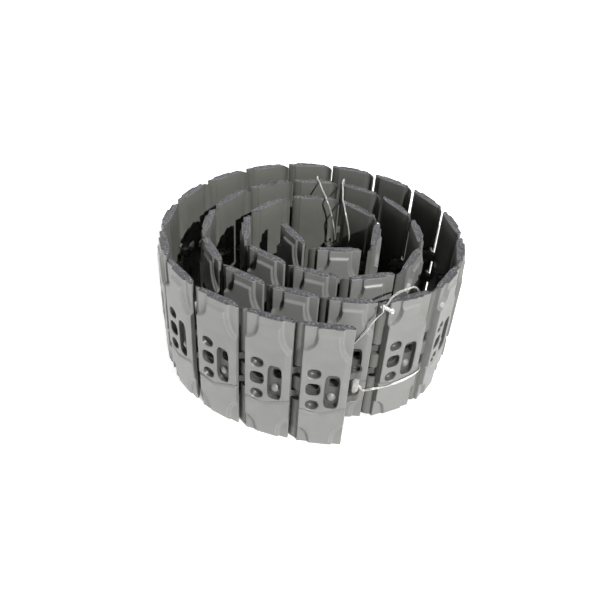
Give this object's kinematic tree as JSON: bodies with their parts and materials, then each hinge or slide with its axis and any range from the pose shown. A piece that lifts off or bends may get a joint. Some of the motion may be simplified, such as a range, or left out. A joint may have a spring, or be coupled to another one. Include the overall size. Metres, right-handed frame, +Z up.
{
  "type": "rolled steel crawler track",
  "caption": "Steel crawler track of one-piece cast shoes hinged on vertical pins, rolled into a spiral that stands on the shoe ends and is tied with wire.",
  "frame": {"origin": "middle of the roll's outline, on the ground it stands on", "axes": "+Z up along the hinge pins; -Y is the side where the free outer end lies; +X to the right of it"},
  "size_m": [0.8552, 0.8444, 0.4061],
  "materials": {
    "cast_paint": "satin",
    "pin_steel": "satin",
    "tie_wire": "satin"
  },
  "bodies": {
    "link_01": {"shoe_01": "cast_paint", "hinge_pin_01": "pin_steel", "end_pin": "pin_steel"},
    "link_02": {"shoe_02": "cast_paint", "hinge_pin_02": "pin_steel"},
    "link_03": {"shoe_03": "cast_paint", "hinge_pin_03": "pin_steel"},
    "link_04": {"shoe_04": "cast_paint", "hinge_pin_04": "pin_steel"},
    "link_05": {"shoe_05": "cast_paint", "hinge_pin_05": "pin_steel"},
    "link_06": {"shoe_06": "cast_paint", "hinge_pin_06": "pin_steel"},
    "link_07": {"shoe_07": "cast_paint", "hinge_pin_07": "pin_steel"},
    "link_08": {"shoe_08": "cast_paint", "hinge_pin_08": "pin_steel"},
    "link_09": {"shoe_09": "cast_paint", "hinge_pin_09": "pin_steel"},
    "link_10": {"shoe_10": "cast_paint", "hinge_pin_10": "pin_steel"},
    "link_11": {"shoe_11": "cast_paint", "hinge_pin_11": "pin_steel"},
    "link_12": {"shoe_12": "cast_paint", "hinge_pin_12": "pin_steel"},
    "link_13": {"shoe_13": "cast_paint", "hinge_pin_13": "pin_steel"},
    "link_14": {"shoe_14": "cast_paint", "hinge_pin_14": "pin_steel"},
    "link_15": {"shoe_15": "cast_paint", "hinge_pin_15": "pin_steel"},
    "link_16": {"shoe_16": "cast_paint", "hinge_pin_16": "pin_steel"},
    "link_17": {"shoe_17": "cast_paint", "hinge_pin_17": "pin_steel", "tie_wire": "tie_wire"},
    "link_18": {"shoe_18": "cast_paint"},
    "link_19": {"shoe_19": "cast_paint"},
    "link_20": {"shoe_20": "cast_paint"},
    "link_21": {"shoe_21": "cast_paint"},
    "link_22": {"shoe_22": "cast_paint"},
    "link_23": {"shoe_23": "cast_paint"},
    "link_24": {"shoe_24": "cast_paint"},
    "link_25": {"shoe_25": "cast_paint", "thin_wire_left": "tie_wire", "thin_wire_right": "tie_wire"},
    "link_26": {"shoe_26": "cast_paint"},
    "link_27": {"shoe_27": "cast_paint"},
    "link_28": {"shoe_28": "cast_paint"},
    "link_29": {"shoe_29": "cast_paint"},
    "link_30": {"shoe_30": "cast_paint"},
    "link_31": {"shoe_31": "cast_paint"},
    "link_32": {"shoe_32": "cast_paint"},
    "link_33": {"shoe_33": "cast_paint"},
    "link_34": {"shoe_34": "cast_paint"},
    "link_35": {"shoe_35": "cast_paint"},
    "link_36": {"shoe_36": "cast_paint"},
    "link_37": {"shoe_37": "cast_paint"},
    "link_38": {"shoe_38": "cast_paint"},
    "link_39": {"shoe_39": "cast_paint"}
  },
  "joints": [
    {"name": "hinge_20_21", "type": "hinge", "parent": "link_20", "child": "link_21", "pos_m": [-0.20386, -0.1745, 0.2], "axis": [0, 0, 1], "range_deg": [0, 29.85], "deforming": ["tie_wire", "thin_wire_left", "thin_wire_right"]},
    {"name": "hinge_01_02", "type": "hinge", "parent": "link_02", "child": "link_01", "pos_m": [-0.01034, -0.37504, 0.2], "axis": [0, 0, -1], "range_deg": [0, 20.8]},
    {"name": "hinge_02_03", "type": "hinge", "parent": "link_03", "child": "link_02", "pos_m": [-0.14059, -0.33956, 0.2], "axis": [0, 0, -1], "range_deg": [0, 22]},
    {"name": "hinge_03_04", "type": "hinge", "parent": "link_04", "child": "link_03", "pos_m": [-0.25837, -0.27358, 0.2], "axis": [0, 0, -1], "range_deg": [0, 29]},
    {"name": "hinge_04_05", "type": "hinge", "parent": "link_05", "child": "link_04", "pos_m": [-0.34475, -0.16983, 0.2], "axis": [0, 0, -1], "range_deg": [0, 21.76]},
    {"name": "hinge_05_06", "type": "hinge", "parent": "link_06", "child": "link_05", "pos_m": [-0.38666, -0.0415, 0.2], "axis": [0, 0, -1], "range_deg": [0, 21.92]},
    {"name": "hinge_06_07", "type": "hinge", "parent": "link_07", "child": "link_06", "pos_m": [-0.37779, 0.0932, 0.2], "axis": [0, 0, -1], "range_deg": [0, 21.46]},
    {"name": "hinge_07_08", "type": "hinge", "parent": "link_08", "child": "link_07", "pos_m": [-0.32037, 0.21539, 0.2], "axis": [0, 0, -1], "range_deg": [0, 20.53]},
    {"name": "hinge_08_09", "type": "hinge", "parent": "link_09", "child": "link_08", "pos_m": [-0.22385, 0.30977, 0.2], "axis": [0, 0, -1], "range_deg": [0, 19.51]},
    {"name": "hinge_09_10", "type": "hinge", "parent": "link_10", "child": "link_09", "pos_m": [-0.10141, 0.36662, 0.2], "axis": [0, 0, -1], "range_deg": [0, 18.97]},
    {"name": "hinge_10_11", "type": "hinge", "parent": "link_11", "child": "link_10", "pos_m": [0.03286, 0.38072, 0.2], "axis": [0, 0, -1], "range_deg": [0, 19.26]},
    {"name": "hinge_11_12", "type": "hinge", "parent": "link_12", "child": "link_11", "pos_m": [0.16428, 0.34987, 0.2], "axis": [0, 0, -1], "range_deg": [0, 20.19]},
    {"name": "hinge_12_13", "type": "hinge", "parent": "link_13", "child": "link_12", "pos_m": [0.27706, 0.27567, 0.2], "axis": [0, 0, -1], "range_deg": [0, 21.2]},
    {"name": "hinge_13_14", "type": "hinge", "parent": "link_14", "child": "link_13", "pos_m": [0.35549, 0.16579, 0.2], "axis": [0, 0, -1], "range_deg": [0, 21.84]},
    {"name": "hinge_14_15", "type": "hinge", "parent": "link_15", "child": "link_14", "pos_m": [0.38756, 0.03465, 0.2], "axis": [0, 0, -1], "range_deg": [0, 21.88]},
    {"name": "hinge_15_16", "type": "hinge", "parent": "link_16", "child": "link_15", "pos_m": [0.3686, -0.09901, 0.2], "axis": [0, 0, -1], "range_deg": [0, 23.21]},
    {"name": "hinge_16_17", "type": "hinge", "parent": "link_17", "child": "link_16", "pos_m": [0.29864, -0.21447, 0.2], "axis": [0, 0, -1], "range_deg": [0, 32.01]},
    {"name": "hinge_17_18", "type": "hinge", "parent": "link_18", "child": "link_17", "pos_m": [0.17821, -0.27546, 0.2], "axis": [0, 0, -1], "range_deg": [0, 26.62]},
    {"name": "hinge_18_19", "type": "hinge", "parent": "link_19", "child": "link_18", "pos_m": [0.04321, -0.27619, 0.2], "axis": [0, 0, -1], "range_deg": [0, 14.42]},
    {"name": "hinge_19_20", "type": "hinge", "parent": "link_20", "child": "link_19", "pos_m": [-0.08774, -0.24337, 0.2], "axis": [0, 0, -1], "range_deg": [0, 16.65]},
    {"name": "hinge_21_22", "type": "hinge", "parent": "link_21", "child": "link_22", "pos_m": [-0.27028, -0.05698, 0.2], "axis": [0, 0, 1], "range_deg": [0, 30.86]},
    {"name": "hinge_22_23", "type": "hinge", "parent": "link_22", "child": "link_23", "pos_m": [-0.26721, 0.07799, 0.2], "axis": [0, 0, 1], "range_deg": [0, 30.1]},
    {"name": "hinge_23_24", "type": "hinge", "parent": "link_23", "child": "link_24", "pos_m": [-0.19702, 0.19331, 0.2], "axis": [0, 0, 1], "range_deg": [0, 28.19]},
    {"name": "hinge_24_25", "type": "hinge", "parent": "link_24", "child": "link_25", "pos_m": [-0.08076, 0.26193, 0.2], "axis": [0, 0, 1], "range_deg": [0, 26.83]},
    {"name": "hinge_25_26", "type": "hinge", "parent": "link_25", "child": "link_26", "pos_m": [0.05394, 0.27085, 0.2], "axis": [0, 0, 1], "range_deg": [0, 27.54]},
    {"name": "hinge_26_27", "type": "hinge", "parent": "link_26", "child": "link_27", "pos_m": [0.17758, 0.21663, 0.2], "axis": [0, 0, 1], "range_deg": [0, 29.5]},
    {"name": "hinge_27_28", "type": "hinge", "parent": "link_27", "child": "link_28", "pos_m": [0.25863, 0.10867, 0.2], "axis": [0, 0, 1], "range_deg": [0, 30.78]},
    {"name": "hinge_28_29", "type": "hinge", "parent": "link_28", "child": "link_29", "pos_m": [0.27321, -0.02554, 0.2], "axis": [0, 0, 1], "range_deg": [0, 30.44]},
    {"name": "hinge_29_30", "type": "hinge", "parent": "link_29", "child": "link_30", "pos_m": [0.21795, -0.14872, 0.2], "axis": [0, 0, 1], "range_deg": [0, 48.14]},
    {"name": "hinge_30_31", "type": "hinge", "parent": "link_30", "child": "link_31", "pos_m": [0.08943, -0.19002, 0.2], "axis": [0, 0, 1], "range_deg": [0, 33.55]},
    {"name": "hinge_31_32", "type": "hinge", "parent": "link_31", "child": "link_32", "pos_m": [-0.04057, -0.1536, 0.2], "axis": [0, 0, 1], "range_deg": [0, 18.87]},
    {"name": "hinge_32_33", "type": "hinge", "parent": "link_32", "child": "link_33", "pos_m": [-0.15187, -0.07719, 0.2], "axis": [0, 0, 1], "range_deg": [0, 48.94]},
    {"name": "hinge_33_34", "type": "hinge", "parent": "link_33", "child": "link_34", "pos_m": [-0.16763, 0.05688, 0.2], "axis": [0, 0, 1], "range_deg": [0, 48.19]},
    {"name": "hinge_34_35", "type": "hinge", "parent": "link_34", "child": "link_35", "pos_m": [-0.0784, 0.15819, 0.2], "axis": [0, 0, 1], "range_deg": [0, 44.01]},
    {"name": "hinge_35_36", "type": "hinge", "parent": "link_35", "child": "link_36", "pos_m": [0.05614, 0.16929, 0.2], "axis": [0, 0, 1], "range_deg": [0, 45.29]},
    {"name": "hinge_36_37", "type": "hinge", "parent": "link_36", "child": "link_37", "pos_m": [0.15884, 0.08168, 0.2], "axis": [0, 0, 1], "range_deg": [0, 56.69]},
    {"name": "hinge_37_38", "type": "hinge", "parent": "link_37", "child": "link_38", "pos_m": [0.14232, -0.05231, 0.2], "axis": [0, 0, 1], "range_deg": [0, 77.9]},
    {"name": "hinge_38_39", "type": "hinge", "parent": "link_38", "child": "link_39", "pos_m": [0.00788, -0.06462, 0.2], "axis": [0, 0, 1], "range_deg": [0, 60.71]}
  ],
  "couplings": [
    {"joint": "hinge_04_05", "follows": "hinge_20_21", "ratio": 0.7267},
    {"joint": "hinge_05_06", "follows": "hinge_20_21", "ratio": 0.7321},
    {"joint": "hinge_06_07", "follows": "hinge_20_21", "ratio": 0.7168},
    {"joint": "hinge_07_08", "follows": "hinge_20_21", "ratio": 0.6858},
    {"joint": "hinge_08_09", "follows": "hinge_20_21", "ratio": 0.6517},
    {"joint": "hinge_09_10", "follows": "hinge_20_21", "ratio": 0.6335},
    {"joint": "hinge_10_11", "follows": "hinge_20_21", "ratio": 0.6433},
    {"joint": "hinge_11_12", "follows": "hinge_20_21", "ratio": 0.6744},
    {"joint": "hinge_12_13", "follows": "hinge_20_21", "ratio": 0.7082},
    {"joint": "hinge_13_14", "follows": "hinge_20_21", "ratio": 0.7294},
    {"joint": "hinge_14_15", "follows": "hinge_20_21", "ratio": 0.7307},
    {"joint": "hinge_15_16", "follows": "hinge_20_21", "ratio": 0.7752},
    {"joint": "hinge_16_17", "follows": "hinge_20_21", "ratio": 1.0695},
    {"joint": "hinge_17_18", "follows": "hinge_20_21", "ratio": 0.8894},
    {"joint": "hinge_18_19", "follows": "hinge_20_21", "ratio": 0.4816},
    {"joint": "hinge_19_20", "follows": "hinge_20_21", "ratio": 0.5561},
    {"joint": "hinge_21_22", "follows": "hinge_20_21", "ratio": 1.0311},
    {"joint": "hinge_22_23", "follows": "hinge_20_21", "ratio": 1.0058},
    {"joint": "hinge_23_24", "follows": "hinge_20_21", "ratio": 0.942},
    {"joint": "hinge_24_25", "follows": "hinge_20_21", "ratio": 0.8965},
    {"joint": "hinge_25_26", "follows": "hinge_20_21", "ratio": 0.9202},
    {"joint": "hinge_26_27", "follows": "hinge_20_21", "ratio": 0.9855},
    {"joint": "hinge_27_28", "follows": "hinge_20_21", "ratio": 1.0285},
    {"joint": "hinge_28_29", "follows": "hinge_20_21", "ratio": 1.0169},
    {"joint": "hinge_29_30", "follows": "hinge_20_21", "ratio": 1.6087},
    {"joint": "hinge_30_31", "follows": "hinge_20_21", "ratio": 1.1211},
    {"joint": "hinge_31_32", "follows": "hinge_20_21", "ratio": 0.6303},
    {"joint": "hinge_32_33", "follows": "hinge_20_21", "ratio": 1.6355},
    {"joint": "hinge_33_34", "follows": "hinge_20_21", "ratio": 1.6106},
    {"joint": "hinge_34_35", "follows": "hinge_20_21", "ratio": 1.4708},
    {"joint": "hinge_35_36", "follows": "hinge_20_21", "ratio": 1.5136},
    {"joint": "hinge_36_37", "follows": "hinge_20_21", "ratio": 1.8948},
    {"joint": "hinge_37_38", "follows": "hinge_20_21", "ratio": 2.604},
    {"joint": "hinge_38_39", "follows": "hinge_20_21", "ratio": 2.029}
  ]
}
